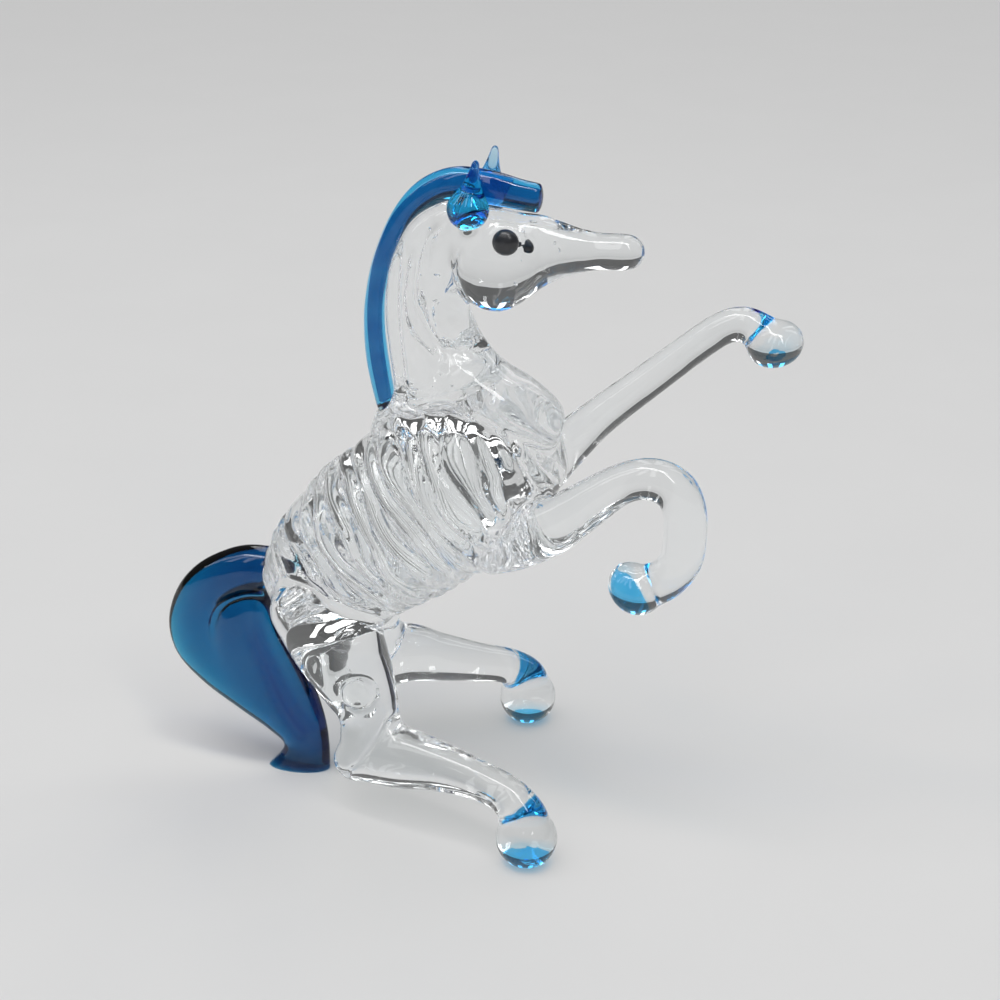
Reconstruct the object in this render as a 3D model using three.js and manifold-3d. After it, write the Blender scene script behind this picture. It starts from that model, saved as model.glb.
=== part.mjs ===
// A lampworked glass figurine: a rearing horse in clear glass with blue mane, ears, tail and soles.
// Millimetres, +Z up. The horse faces +X, its left side is +Y, and it stands on Z = 0.
import * as THREE from "three";
import { mergeVertices } from "three/addons/utils/BufferGeometryUtils.js";
import Module from "manifold-3d";

const wasm = await Module();
wasm.setup();

// Driving dimensions
const weldGap = 0.3; // between two pieces that are fused on the real figurine
const trailDiameter = 1.9; // of the trail wound round the barrel
const trailTurns = 16;
const trailSunk = 0.2; // of the trail's crest under the barrel's outline
const bodyWidth = 0.95; // the barrel's width for each unit of its depth
const hindHoofRadius = 5.1;
const hindHoofHeight = 4.7; // of the bead's centre over the floor
const hindHoofSpread = 23.5; // from the midplane to each hind hoof
const foreHoofRadius = 4.7;
const hoofFlatness = 0.82; // a fore hoof's height for each unit of its width
const soleDepth = 1.7; // of a hind hoof's blue cap
const foreSoleDepth = 2.0;
const earRadius = 3.3;
const earHeight = 7.8; // from the widest place of the drop to its tip
const earSpread = 4.5;
const eyeBulge = 0.75; // an eye's depth for each unit of its radius

// Barrel: x, z of its axis at the rump, at the pull between and at the chest, and the radius over the
// wound trail at even steps from the rump to the chest
const rump = [-29.3, 33.7];
const saddle = [-12.0, 50.8];
const chest = [11.2, 64.8];
const barrelRadii = [8.4, 12.2, 13.9, 14.6, 15.1, 13.6, 8.6];
const barrelEnds = [2.5, 2.6];
const trailSpan = [0.08, 0.985]; // shares of the barrel's length between which the trail lies

// Flat pieces on the midplane: x, z of one edge, x, z of the other edge, half thickness
const neckStations = [
  [-4.4, 103.6, 1.6, 100.6, 2.8],
  [-8.8, 100.4, -0.6, 96.0, 3.6],
  [-12.2, 93.8, -1.6, 91.4, 4.3],
  [-13.1, 86.0, 0.4, 87.0, 5.2],
  [-12.6, 79.3, 2.6, 81.9, 6.0],
  [-11.9, 73.5, 6.2, 77.7, 7.0],
  [-12.6, 68.4, 11.4, 74.7, 7.8],
  [-16.0, 65.2, 16.1, 69.7, 8.0],
  [-12.0, 60.0, 14.0, 63.0, 6.5],
];
const neckEnds = [1.2, 2];
const headStations = [
  [2.8, 103.3, 2.8, 86.8, 5.4],
  [5.6, 103.2, 5.6, 86.6, 5.6],
  [8.6, 102.8, 8.6, 88.0, 5.3],
  [11.8, 102.6, 11.8, 90.6, 4.6],
  [14.8, 101.7, 14.8, 92.5, 3.9],
  [18.0, 100.7, 18.0, 93.6, 3.4],
  [21.2, 100.2, 21.2, 94.4, 3.1],
  [25.2, 100.3, 25.2, 94.4, 3.0],
];
const headEnds = [4.8, 3.1];
const maneStations = [
  [-14.6, 68.2, -11.6, 68.2, 1.5],
  [-15.6, 72.4, -12.1, 72.4, 1.7],
  [-16.4, 77.0, -12.8, 77.4, 1.8],
  [-16.7, 82.2, -13.3, 82.8, 1.8],
  [-16.4, 87.4, -13.1, 88.4, 1.8],
  [-14.9, 94.4, -11.7, 94.6, 1.9],
  [-11.7, 102.0, -8.7, 100.5, 2.0],
  [-7.5, 107.1, -4.4, 103.6, 2.2],
  [-2.0, 109.6, -0.8, 104.4, 2.4],
  [4.0, 109.3, 4.0, 103.9, 2.4],
  [8.8, 108.1, 8.5, 103.3, 2.3],
  [11.5, 107.6, 11.2, 103.0, 2.2],
];
const maneEnds = [0.6, 0.8];
const tailStations = [
  [-30.5, 41.6, -31.5, 33.5, 3.6],
  [-37.5, 42.0, -34.6, 34.6, 3.8],
  [-42.5, 40.6, -34.6, 33.2, 3.8],
  [-47.4, 37.5, -34.3, 31.8, 3.6],
  [-51.0, 32.7, -33.6, 29.8, 3.4],
  [-52.7, 26.4, -32.1, 26.7, 3.2],
  [-51.4, 20.4, -30.1, 22.8, 3.0],
  [-47.0, 15.3, -28.0, 18.3, 2.8],
  [-41.0, 10.8, -26.3, 13.4, 2.6],
  [-35.6, 7.0, -25.3, 9.0, 2.4],
  [-33.0, 4.0, -24.9, 4.6, 2.3],
  [-36.0, -0.2, -24.9, -0.2, 2.6],
];
const tailEnds = [0.5, 0.6];
const creaseDepth = 0.45; // share of the leaf's thickness
const creasePlace = 0.3; // from the middle of the leaf towards the horse, as a share of the half width
const creaseWidth = 0.28;
const creaseStart = 0.3; // share of the tail's length from which the crease runs down
const creaseRun = 0.15; // share of it over which the crease deepens

// Legs: x, y, z, half depth and half width, down each leg, and how far each rod's two ends are rounded
const forelegEnds = [2, 1];
const thighEnds = [5, 2.6];
const cannonEnds = [1.5, 1];
const leftForelegStations = [
  [11.0, 6.2, 57.0, 4.6, 4.2],
  [15.8, 7.0, 62.0, 3.8, 3.7],
  [20.7, 7.5, 66.8, 3.2, 3.2],
  [28.7, 8.0, 73.6, 2.9, 2.9],
  [36.5, 8.5, 80.2, 2.75, 2.75],
  [40.4, 9.0, 82.9, 2.75, 2.75],
  [43.5, 9.0, 83.7, 2.75, 2.75],
  [46.4, 9.0, 82.5, 2.85, 2.85],
  [49.4, 9.0, 80.9, 3.0, 3.0],
];
const rightForelegStations = [
  [4.6, -7.8, 48.7, 4.5, 4.5],
  [9.8, -8.8, 51.0, 4.8, 4.6],
  [15.2, -9.5, 54.1, 4.6, 4.4],
  [20.0, -10.0, 57.8, 4.0, 4.0],
  [26.3, -10.5, 62.7, 3.3, 3.3],
  [31.1, -11.0, 64.3, 3.35, 3.35],
  [35.0, -11.0, 62.9, 3.45, 3.45],
  [36.7, -11.0, 59.0, 3.5, 3.5],
  [36.8, -11.0, 54.0, 3.5, 3.5],
  [36.3, -11.0, 50.4, 3.4, 3.4],
  [34.0, -11.0, 47.2, 3.4, 3.4],
  [31.2, -11.0, 45.6, 3.5, 3.5],
  [28.6, -11.0, 44.8, 3.6, 3.6],
];
const rightThighStations = [
  [-24.9, -8.5, 37.5, 8.0, 6.0],
  [-20.5, -10.0, 30.8, 8.0, 6.4],
  [-17.1, -10.4, 23.9, 6.7, 5.8],
  [-15.0, -10.8, 18.4, 5.2, 4.9],
  [-15.4, -11.0, 12.6, 4.7, 4.5],
  [-17.9, -11.0, 8.2, 3.7, 3.7],
];
const leftThighStations = [
  [-25.5, 8.5, 37.5, 8.0, 6.0],
  [-22.6, 10.0, 30.8, 7.8, 6.4],
  [-20.6, 10.4, 24.6, 6.4, 5.8],
  [-19.4, 10.8, 19.8, 5.2, 4.9],
  [-19.8, 11.0, 15.0, 4.7, 4.5],
  [-21.9, 11.0, 10.9, 3.7, 3.7],
];
const rightCannonStations = [
  [-16.0, -11.0, 10.6, 5.2, 4.6],
  [-9.2, -13.5, 11.6, 5.4, 4.8],
  [-1.8, -16.5, 12.3, 4.2, 4.1],
  [5.6, -19.5, 12.1, 3.3, 3.3],
  [10.4, -21.8, 11.3, 3.3, 3.3],
  [13.5, -23.1, 8.7, 3.6, 3.6],
  [14.5, -23.5, 5.4, 3.9, 3.9],
];
const leftCannonStations = [
  [-20.4, 11.0, 15.4, 5.2, 4.6],
  [-14.3, 13.2, 17.0, 5.5, 4.8],
  [-8.4, 16.4, 15.0, 4.4, 4.3],
  [-1.6, 19.2, 13.1, 3.5, 3.5],
  [3.0, 21.6, 11.5, 3.3, 3.3],
  [6.1, 23.1, 8.9, 3.6, 3.6],
  [7.0, 23.5, 5.4, 3.9, 3.9],
];

// Hooves: centre and the way that the sole faces
const hooves = {
  left_fore: { centre: [48.4, 9.0, 80.6], sole: [0.25, 0, -1] },
  right_fore: { centre: [29.2, -11.0, 45.1], sole: [-0.8, 0, -1] },
  left_hind: { centre: [6.4, hindHoofSpread, hindHoofHeight], sole: [0, 0, -1] },
  right_hind: { centre: [13.9, -hindHoofSpread, hindHoofHeight], sole: [0, 0, -1] },
};
// An ear's radius at even steps from its widest place to its tip, as shares of its greatest radius
const earDrawn = [1, 0.93, 0.72, 0.52, 0.38, 0.28, 0.2];
const earRoots = { left: [2.6, 104.3], right: [1.2, 104.3] }; // x, z of an ear's widest place
const earLean = 0.17; // of the tip, forwards, for each unit of height
const eyes = {
  left: { centre: [9.4, 5.0, 95.4], radius: 1.1 },
  right: { centre: [7.1, -4.7, 99.4], radius: 2.1 },
};

// Colours and finishes
const finishes = {
  clear: { color: 0xe6eef0, roughness: 0.04, metalness: 0 },
  blue: { color: 0x0a5fae, roughness: 0.05, metalness: 0 },
  black: { color: 0x101114, roughness: 0.08, metalness: 0 },
};

// Facets round each piece and rows along it, and the distance within which corners are one
const sides = {
  barrel: 24,
  trail: 6,
  neck: 18,
  head: 18,
  mane: 12,
  tail: 18,
  foreleg: 12,
  thigh: 16,
  cannon: 12,
  hoof: 18,
  ear: 14,
  eye: 12,
};
const rows = {
  barrel: 16,
  trailTurn: 24,
  neck: 16,
  head: 16,
  mane: 26,
  tail: 22,
  foreleg: 22,
  thigh: 11,
  cannon: 12,
  hoof: 10,
  earBowl: 5,
  eye: 8,
  roundedEnd: 3,
};
const cornersWithin = 1e-4;
const floorBlock = [200, 200, 4]; // cuts off what would reach under the floor

const along = (list, share) => new THREE.CatmullRomCurve3(list).getPoint(share);

// Turns a closed geometry into a solid for joining and cutting.
function solidOf(geometry) {
  geometry.deleteAttribute("normal");
  geometry.deleteAttribute("uv");
  const merged = mergeVertices(geometry, cornersWithin);
  const vertProperties = new Float32Array(merged.attributes.position.array);
  const triVerts = new Uint32Array(merged.index.array);
  return new wasm.Manifold(new wasm.Mesh({ numProp: 3, vertProperties, triVerts }));
}

// Skins a row of rings, and closes both ends with a fan to a point.
function skin(rings, firstTip, lastTip) {
  const round = rings[0].length;
  const points = [...rings.flat(), firstTip, lastTip];
  const first = points.length - 2;
  const last = points.length - 1;
  const lastRing = (rings.length - 1) * round;
  const faces = [];
  for (let side = 0; side < round; side += 1) {
    const next = (side + 1) % round;
    for (let ring = 0; ring < lastRing; ring += round) {
      faces.push(ring + side, ring + next, ring + round + next);
      faces.push(ring + side, ring + round + next, ring + round + side);
    }
    faces.push(first, next, side);
    faces.push(last, lastRing + side, lastRing + next);
  }
  const geometry = new THREE.BufferGeometry().setFromPoints(points);
  geometry.setIndex(faces);
  return geometry;
}

// Hot glass drawn over elliptical sections, with both ends rounded by the flame. A section has its
// centre, its half axes as vectors, and how deep it is creased. `grow` swells the piece all over.
function gather(sections, ends, round, grow = 0) {
  const ringOf = ({ centre, depth, width, crease = 0 }, scale = 1) => {
    const points = [];
    for (let side = 0; side < round; side += 1) {
      const angle = (2 * Math.PI * side) / round;
      const place = (Math.cos(angle) - creasePlace) / creaseWidth;
      const pinch = 1 - crease * Math.exp(-place * place);
      const point = centre.clone();
      point.addScaledVector(depth, Math.cos(angle) * scale * (1 + grow / depth.length()));
      point.addScaledVector(width, Math.sin(angle) * scale * pinch * (1 + grow / width.length()));
      points.push(point);
    }
    return points;
  };
  const cap = (end, inner, length) => {
    const way = end.centre.clone().sub(inner.centre).normalize();
    const rings = [];
    for (let step = 1; step < rows.roundedEnd; step += 1) {
      const angle = (Math.PI / 2) * (step / rows.roundedEnd);
      const centre = end.centre.clone().addScaledVector(way, (length + grow) * Math.sin(angle));
      rings.push(ringOf({ ...end, centre }, Math.cos(angle)));
    }
    return { rings, tip: end.centre.clone().addScaledVector(way, length + grow) };
  };
  const start = cap(sections[0], sections[1], ends[0]);
  const finish = cap(sections.at(-1), sections.at(-2), ends[1]);
  const middle = sections.map((section) => ringOf(section));
  const rings = [...start.rings.reverse(), ...middle, ...finish.rings];
  return solidOf(skin(rings, start.tip, finish.tip));
}

// Sections between two edges that lie on the midplane.
function sectionsBetween(stations, steps, creased = 0) {
  const oneEdge = stations.map(([x, z]) => new THREE.Vector3(x, 0, z));
  const otherEdge = stations.map(([, , x, z]) => new THREE.Vector3(x, 0, z));
  const thickness = stations.map(([, , , , half]) => new THREE.Vector3(0, half, 0));
  const sections = [];
  for (let step = 0; step <= steps; step += 1) {
    const share = step / steps;
    const one = along(oneEdge, share);
    const other = along(otherEdge, share);
    sections.push({
      centre: one.clone().add(other).multiplyScalar(0.5),
      depth: other.clone().sub(one).multiplyScalar(0.5),
      width: along(thickness, share),
      crease: creased * THREE.MathUtils.smoothstep(share, creaseStart, creaseStart + creaseRun),
    });
  }
  const way = sections[1].centre.clone().sub(sections[0].centre);
  const facing = new THREE.Vector3().crossVectors(sections[0].depth, sections[0].width).dot(way);
  if (facing < 0) sections.forEach(({ width }) => width.negate());
  return sections;
}

// Sections square to a path, with `width` as near to Y as the path lets it be.
function sectionsAlong(stations, steps) {
  const path = new THREE.CatmullRomCurve3(stations.map(([x, y, z]) => new THREE.Vector3(x, y, z)));
  const sizes = stations.map(([, , , depth, width]) => new THREE.Vector3(depth, width, 0));
  const sections = [];
  for (let step = 0; step <= steps; step += 1) {
    const share = step / steps;
    const way = path.getTangent(share);
    const size = along(sizes, share);
    const width = new THREE.Vector3(0, 1, 0).addScaledVector(way, -way.y).normalize();
    sections.push({
      centre: path.getPoint(share),
      depth: new THREE.Vector3().crossVectors(width, way).multiplyScalar(size.x),
      width: width.multiplyScalar(size.y),
    });
  }
  return sections;
}

// The barrel's axis, and a section of it at a share of its length and at a depth under the surface.
const onMidplane = ([x, z]) => new THREE.Vector3(x, 0, z);
const barrelAxis = new THREE.QuadraticBezierCurve3(...[rump, saddle, chest].map(onMidplane));
const barrelSwell = barrelRadii.map((radius) => new THREE.Vector3(radius, 0, 0));
function barrelSection(share, under = 0) {
  const way = barrelAxis.getTangentAt(share);
  const radius = along(barrelSwell, share).x;
  return {
    centre: barrelAxis.getPointAt(share),
    depth: new THREE.Vector3(-way.z, 0, way.x).multiplyScalar(radius - under),
    width: new THREE.Vector3(0, under - bodyWidth * radius, 0),
  };
}

function barrelSections(under) {
  const steps = rows.barrel;
  const sections = [];
  for (let step = 0; step <= steps; step += 1) {
    const share = step / steps;
    if (under && step > 0 && step < steps) {
      const within = THREE.MathUtils.lerp(...trailSpan, (step - 1) / (steps - 2));
      if (step === 1) sections.push(barrelSection(within));
      sections.push(barrelSection(within, under));
      if (step === steps - 1) sections.push(barrelSection(within));
    } else {
      sections.push(barrelSection(share));
    }
  }
  return sections;
}

// The trail: one unbroken tube wound in the barrel's recess, with straight ends.
function trail() {
  const stepsPerTurn = rows.trailTurn;
  const radius = trailDiameter / 2;
  const margin = (radius + weldGap) / barrelAxis.getLength();
  const steps = trailTurns * stepsPerTurn;
  const route = [];
  for (let step = 0; step <= steps; step += 1) {
    const share = THREE.MathUtils.lerp(trailSpan[0] + margin, trailSpan[1] - margin, step / steps);
    const { centre, depth, width } = barrelSection(share, radius + trailSunk);
    const angle = (2 * Math.PI * step) / stepsPerTurn;
    const out = depth.multiplyScalar(Math.cos(angle)).addScaledVector(width, Math.sin(angle));
    route.push({ point: centre.clone().add(out), out: out.normalize() });
  }
  const straightOn = (end, inner) => {
    const way = end.point.clone().sub(inner.point).normalize();
    return { point: end.point.clone().addScaledVector(way, trailDiameter), out: end.out };
  };
  route.unshift(straightOn(route[0], route[1]));
  route.push(straightOn(route.at(-1), route.at(-2)));
  const rings = route.map(({ point, out }, place) => {
    const before = route[Math.max(place - 1, 0)].point;
    const after = route[Math.min(place + 1, route.length - 1)].point;
    const way = after.clone().sub(before).normalize();
    const up = out.clone().addScaledVector(way, -out.dot(way)).normalize();
    const side = new THREE.Vector3().crossVectors(way, up);
    const ring = [];
    for (let corner = 0; corner < sides.trail; corner += 1) {
      const angle = (2 * Math.PI * corner) / sides.trail;
      const lifted = point.clone().addScaledVector(up, radius * Math.cos(angle));
      ring.push(lifted.addScaledVector(side, radius * Math.sin(angle)));
    }
    return ring;
  });
  let leastGap = Infinity;
  for (let one = 0; one < route.length; one += 1) {
    for (let other = one + stepsPerTurn / 2; other < route.length; other += 1) {
      const apart = route[one].point.distanceTo(route[other].point) - trailDiameter;
      leastGap = Math.min(leastGap, apart);
    }
  }
  console.log(`rib_coil: least gap to itself ${leastGap.toFixed(2)} mm`);
  return solidOf(skin(rings, route[0].point, route.at(-1).point));
}

// A hoof bead, and its blue cap below a plane square to the way that the sole faces.
function hoof({ centre, sole }, radius, flatness, depth, floor) {
  const turn = new THREE.Quaternion().setFromUnitVectors(
    new THREE.Vector3(0, 0, -1),
    new THREE.Vector3(...sole).normalize(),
  );
  const place = (geometry) => {
    geometry.applyQuaternion(turn);
    geometry.translate(...centre);
    return solidOf(geometry);
  };
  const bead = (grow) => {
    const geometry = new THREE.SphereGeometry(radius + grow, sides.hoof, rows.hoof);
    geometry.rotateX(Math.PI / 2);
    geometry.scale(1, 1, flatness);
    return place(geometry);
  };
  const span = 4 * radius;
  const below = (height) => {
    const geometry = new THREE.BoxGeometry(span, span, span);
    geometry.translate(0, 0, height - span / 2);
    return place(geometry);
  };
  const seam = floor + depth;
  const whole = bead(0).subtract(below(floor));
  return {
    clear: whole.subtract(below(seam)),
    blue: whole.intersect(below(seam - weldGap)),
    grown: bead(weldGap),
  };
}

// A drop drawn up to a point.
function ear(name, side) {
  const profile = [new THREE.Vector2(0, -earRadius)];
  for (let step = 1; step < rows.earBowl; step += 1) {
    const angle = (Math.PI / 2) * (step / rows.earBowl);
    profile.push(new THREE.Vector2(Math.sin(angle), -Math.cos(angle)).multiplyScalar(earRadius));
  }
  earDrawn.forEach((share, step) => {
    profile.push(new THREE.Vector2(share * earRadius, (earHeight * step) / earDrawn.length));
  });
  profile.push(new THREE.Vector2(0, earHeight));
  const geometry = new THREE.LatheGeometry(profile, sides.ear);
  geometry.rotateX(Math.PI / 2);
  geometry.rotateY(Math.atan(earLean));
  const [x, z] = earRoots[name];
  geometry.translate(x, side * earSpread, z);
  return solidOf(geometry);
}

function eye({ centre, radius }) {
  const geometry = new THREE.SphereGeometry(radius, sides.eye, rows.eye);
  geometry.scale(1, eyeBulge, 1);
  geometry.translate(...centre);
  return solidOf(geometry);
}

// Welds: the later piece of the flame work is cut to sit on the earlier one.
const barrelWhole = gather(barrelSections(0), barrelEnds, sides.barrel, weldGap);
const headShape = sectionsBetween(headStations, rows.head);
const neckShape = sectionsBetween(neckStations, rows.neck);
const maneShape = sectionsBetween(maneStations, rows.mane);
const head = gather(headShape, headEnds, sides.head);
const headGrown = gather(headShape, headEnds, sides.head, weldGap);
const neck = gather(neckShape, neckEnds, sides.neck).subtract(barrelWhole).subtract(headGrown);
const neckGrown = gather(neckShape, neckEnds, sides.neck, weldGap);
const mane = gather(maneShape, maneEnds, sides.mane);
const maneGrown = gather(maneShape, maneEnds, sides.mane, weldGap);
const tail = gather(sectionsBetween(tailStations, rows.tail, creaseDepth), tailEnds, sides.tail);
const belowFloor = solidOf(new THREE.BoxGeometry(...floorBlock).translate(0, 0, -floorBlock[2] / 2));

const foreHoofBottom = -foreHoofRadius * hoofFlatness;
const hoofOf = {
  left_fore: hoof(hooves.left_fore, foreHoofRadius, hoofFlatness, foreSoleDepth, foreHoofBottom),
  right_fore: hoof(hooves.right_fore, foreHoofRadius, hoofFlatness, foreSoleDepth, foreHoofBottom),
  left_hind: hoof(hooves.left_hind, hindHoofRadius, 1, soleDepth, -hindHoofHeight),
  right_hind: hoof(hooves.right_hind, hindHoofRadius, 1, soleDepth, -hindHoofHeight),
};

function foreleg(stations, name) {
  const rod = gather(sectionsAlong(stations, rows.foreleg), forelegEnds, sides.foreleg);
  return rod.subtract(barrelWhole).subtract(neckGrown).subtract(hoofOf[name].grown);
}

function hindLeg(thighStations, cannonStations, name) {
  const thighShape = sectionsAlong(thighStations, rows.thigh);
  const thighGrown = gather(thighShape, thighEnds, sides.thigh, weldGap);
  const cannon = gather(sectionsAlong(cannonStations, rows.cannon), cannonEnds, sides.cannon);
  return {
    thigh: gather(thighShape, thighEnds, sides.thigh).subtract(barrelWhole),
    cannon: cannon.subtract(thighGrown).subtract(hoofOf[name].grown),
  };
}

const leftHind = hindLeg(leftThighStations, leftCannonStations, "left_hind");
const rightHind = hindLeg(rightThighStations, rightCannonStations, "right_hind");

const recess = trailDiameter + trailSunk + weldGap;
const bobbin = gather(barrelSections(recess), barrelEnds, sides.barrel);

const horse = new THREE.Group();
function add(name, solid, finish) {
  const { vertProperties, triVerts } = solid.getMesh();
  const geometry = new THREE.BufferGeometry();
  geometry.setAttribute("position", new THREE.BufferAttribute(vertProperties, 3));
  geometry.setIndex(new THREE.BufferAttribute(triVerts, 1));
  geometry.computeVertexNormals();
  const mesh = new THREE.Mesh(geometry, new THREE.MeshStandardMaterial(finishes[finish]));
  mesh.name = name;
  horse.add(mesh);
}

add("barrel", bobbin, "clear");
add("rib_coil", trail(), "clear");
add("neck", neck, "clear");
add("head", head, "clear");
add("left_foreleg", foreleg(leftForelegStations, "left_fore"), "clear");
add("right_foreleg", foreleg(rightForelegStations, "right_fore"), "clear");
add("left_hind_thigh", leftHind.thigh, "clear");
add("right_hind_thigh", rightHind.thigh, "clear");
add("left_hind_cannon", leftHind.cannon, "clear");
add("right_hind_cannon", rightHind.cannon, "clear");
for (const [name, { clear, blue }] of Object.entries(hoofOf)) {
  add(`${name}_hoof`, clear, "clear");
  add(`${name}_sole`, blue, "blue");
}
add("mane", mane.subtract(neckGrown).subtract(headGrown).subtract(barrelWhole), "blue");
add("tail", tail.subtract(barrelWhole).subtract(belowFloor), "blue");
for (const [name, side] of [["left", 1], ["right", -1]]) {
  add(`${name}_ear`, ear(name, side).subtract(headGrown).subtract(maneGrown), "blue");
  add(`${name}_eye`, eye(eyes[name]).subtract(headGrown), "black");
}

// The part's origin is under the middle of its box, on the surface that it stands on.
const box = new THREE.Box3().setFromObject(horse);
const middle = box.getCenter(new THREE.Vector3());
horse.position.set(-middle.x, -middle.y, -box.min.z);

export default horse;
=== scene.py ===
import math

import bpy
import numpy as np
from mathutils import Matrix, Vector


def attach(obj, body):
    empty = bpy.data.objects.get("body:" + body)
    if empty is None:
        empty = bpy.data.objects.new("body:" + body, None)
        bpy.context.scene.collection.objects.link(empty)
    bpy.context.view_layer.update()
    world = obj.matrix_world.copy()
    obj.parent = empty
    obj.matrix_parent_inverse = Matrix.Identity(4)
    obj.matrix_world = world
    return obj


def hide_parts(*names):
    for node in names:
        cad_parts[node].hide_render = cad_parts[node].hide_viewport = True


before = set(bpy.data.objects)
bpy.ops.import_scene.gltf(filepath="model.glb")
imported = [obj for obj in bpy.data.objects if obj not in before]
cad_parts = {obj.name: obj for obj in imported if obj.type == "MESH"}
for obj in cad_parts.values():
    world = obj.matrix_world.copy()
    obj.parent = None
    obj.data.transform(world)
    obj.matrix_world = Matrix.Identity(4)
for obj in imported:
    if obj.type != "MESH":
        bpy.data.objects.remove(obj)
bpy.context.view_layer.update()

mm = 0.001
boxShift = -0.163  # mm along X, from the horse's own zero to the middle of its box


def spot(x, y, z):
    return Vector((x + boxShift, y, z)) * mm


def only(piece):
    bpy.ops.object.select_all(action="DESELECT")
    piece.select_set(True)
    bpy.context.view_layer.objects.active = piece
    return piece


def finishWith(piece, kind, **settings):
    only(piece)
    bpy.ops.object.modifier_add(type=kind)
    modifier = piece.modifiers[-1]
    for name, value in settings.items():
        setattr(modifier, name, value)
    bpy.ops.object.modifier_apply(modifier=modifier.name)


def joined(name, pieces):
    only(pieces[0])
    for piece in pieces:
        piece.select_set(True)
    if len(pieces) > 1:
        bpy.ops.object.join()
    whole = bpy.context.object
    whole.name = name
    whole.data.name = name
    bpy.ops.object.transform_apply(location=True, rotation=True, scale=True)
    return whole


def places(piece):  # every corner, in mm
    flat = np.empty(len(piece.data.vertices) * 3)
    piece.data.vertices.foreach_get("co", flat)
    return flat.reshape(-1, 3) / mm


def putPlaces(piece, spots):
    piece.data.vertices.foreach_set("co", (spots * mm).ravel())
    piece.data.update()


def outward(piece):
    flat = np.empty(len(piece.data.vertices) * 3)
    piece.data.vertices.foreach_get("normal", flat)
    return flat.reshape(-1, 3)


def standOnFloor(piece):
    spots = places(piece)
    spots[:, 2] = np.maximum(spots[:, 2], 0)
    putPlaces(piece, spots)


# Hot glass: rings are set along a run, bridged, closed and rounded

def drawnThrough(rows, steps):  # a smooth run of rows through the given ones
    rows = [list(row) for row in rows]
    rows = [[2 * a - b for a, b in zip(rows[0], rows[1])]] + rows
    rows = rows + [[2 * a - b for a, b in zip(rows[-1], rows[-2])]]
    run = []
    for step in range(steps + 1):
        at = step / steps * (len(rows) - 3)
        first = min(int(at), len(rows) - 4)
        t = at - first
        run.append([
            0.5 * (2 * b + (c - a) * t + (2 * a - 5 * b + 4 * c - d) * t ** 2
                   + (3 * b - a - 3 * c + d) * t ** 3)
            for a, b, c, d in zip(*rows[first:first + 4])
        ])
    return run


def ringsBetween(rows, steps):  # x, z of one edge, x, z of the other, half thickness
    rings = []
    for xOne, zOne, xOther, zOther, half in drawnThrough(rows, steps):
        one, other = spot(xOne, 0, zOne), spot(xOther, 0, zOther)
        rings.append(((one + other) / 2, (other - one) / 2, Vector((0, half * mm, 0))))
    return rings


def ringsAlong(rows, steps):  # x, y, z, half depth, half width
    run = drawnThrough(rows, steps)
    rings = []
    for place, (x, y, z, deep, wide) in enumerate(run):
        before, after = run[max(place - 1, 0)], run[min(place + 1, steps)]
        way = (Vector(after[:3]) - Vector(before[:3])).normalized()
        width = (Vector((0, 1, 0)) - way * way.y).normalized()
        rings.append((spot(x, y, z), width.cross(way) * deep * mm, width * wide * mm))
    return rings


endSteps = 4  # rings in each rounded end
lastRing = 0.96  # of the quarter turn, so that the last ring can still be filled


def rounded(rings, ends):  # rings that close each end like a drop
    closed = list(rings)
    for first, (end, inner), length in ((True, rings[:2], ends[0]), (False, rings[:-3:-1], ends[1])):
        way = (end[0] - inner[0]).normalized() * length * mm
        for step in range(1, endSteps + 1):
            angle = math.pi / 2 * min(step / endSteps, lastRing)
            ring = (end[0] + way * math.sin(angle), end[1] * math.cos(angle), end[2] * math.cos(angle))
            if first:
                closed.insert(0, ring)
            else:
                closed.append(ring)
    return closed


def gather(name, rings, sides=24):
    swell = 3 / (2 + math.cos(2 * math.pi / sides))  # what the smoothing takes off
    hoops = []
    bpy.ops.object.select_all(action="DESELECT")
    for centre, depth, width in rings:
        across = depth.cross(width).normalized()
        turn = Matrix((depth.normalized(), width.normalized(), across)).transposed().to_euler()
        bpy.ops.mesh.primitive_circle_add(vertices=sides, radius=1, location=centre, rotation=turn)
        hoop = bpy.context.object
        hoop.scale = (depth.length * swell, width.length * swell, 1)
        hoops.append(hoop)
    piece = joined(name, hoops)
    bpy.ops.object.mode_set(mode="EDIT")
    bpy.ops.mesh.select_all(action="SELECT")
    bpy.ops.mesh.bridge_edge_loops()
    bpy.ops.mesh.select_all(action="SELECT")
    bpy.ops.mesh.fill_holes(sides=0)
    bpy.ops.mesh.select_all(action="SELECT")
    bpy.ops.mesh.normals_make_consistent(inside=False)
    bpy.ops.object.mode_set(mode="OBJECT")
    finishWith(piece, "SUBSURF", levels=1, render_levels=1)
    return piece


lineSteps = 6  # for each point of a drawn line


def alongLine(spots, line):  # 1 on a line drawn on the horse's side, less beside it and towards its ends
    x, z = spots[:, 0] - boxShift, spots[:, 2]
    run = drawnThrough(line["through"], lineSteps * len(line["through"]))
    least = np.full(len(x), np.inf)
    share = np.zeros(len(x))
    for step, ((x0, z0), (x1, z1)) in enumerate(zip(run, run[1:])):
        dx, dz = x1 - x0, z1 - z0
        t = np.clip(((x - x0) * dx + (z - z0) * dz) / (dx * dx + dz * dz), 0, 1)
        apart = np.hypot(x - x0 - t * dx, z - z0 - t * dz)
        share = np.where(apart < least, (step + t) / (len(run) - 1), share)
        least = np.minimum(least, apart)
    start, end = line["fades"]
    fade = np.clip(share / start, 0, 1) * np.clip((1 - share) / end, 0, 1)
    return np.exp(-(least / line["width"]) ** 2) * fade


# Barrel: a wound, hollow body

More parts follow.
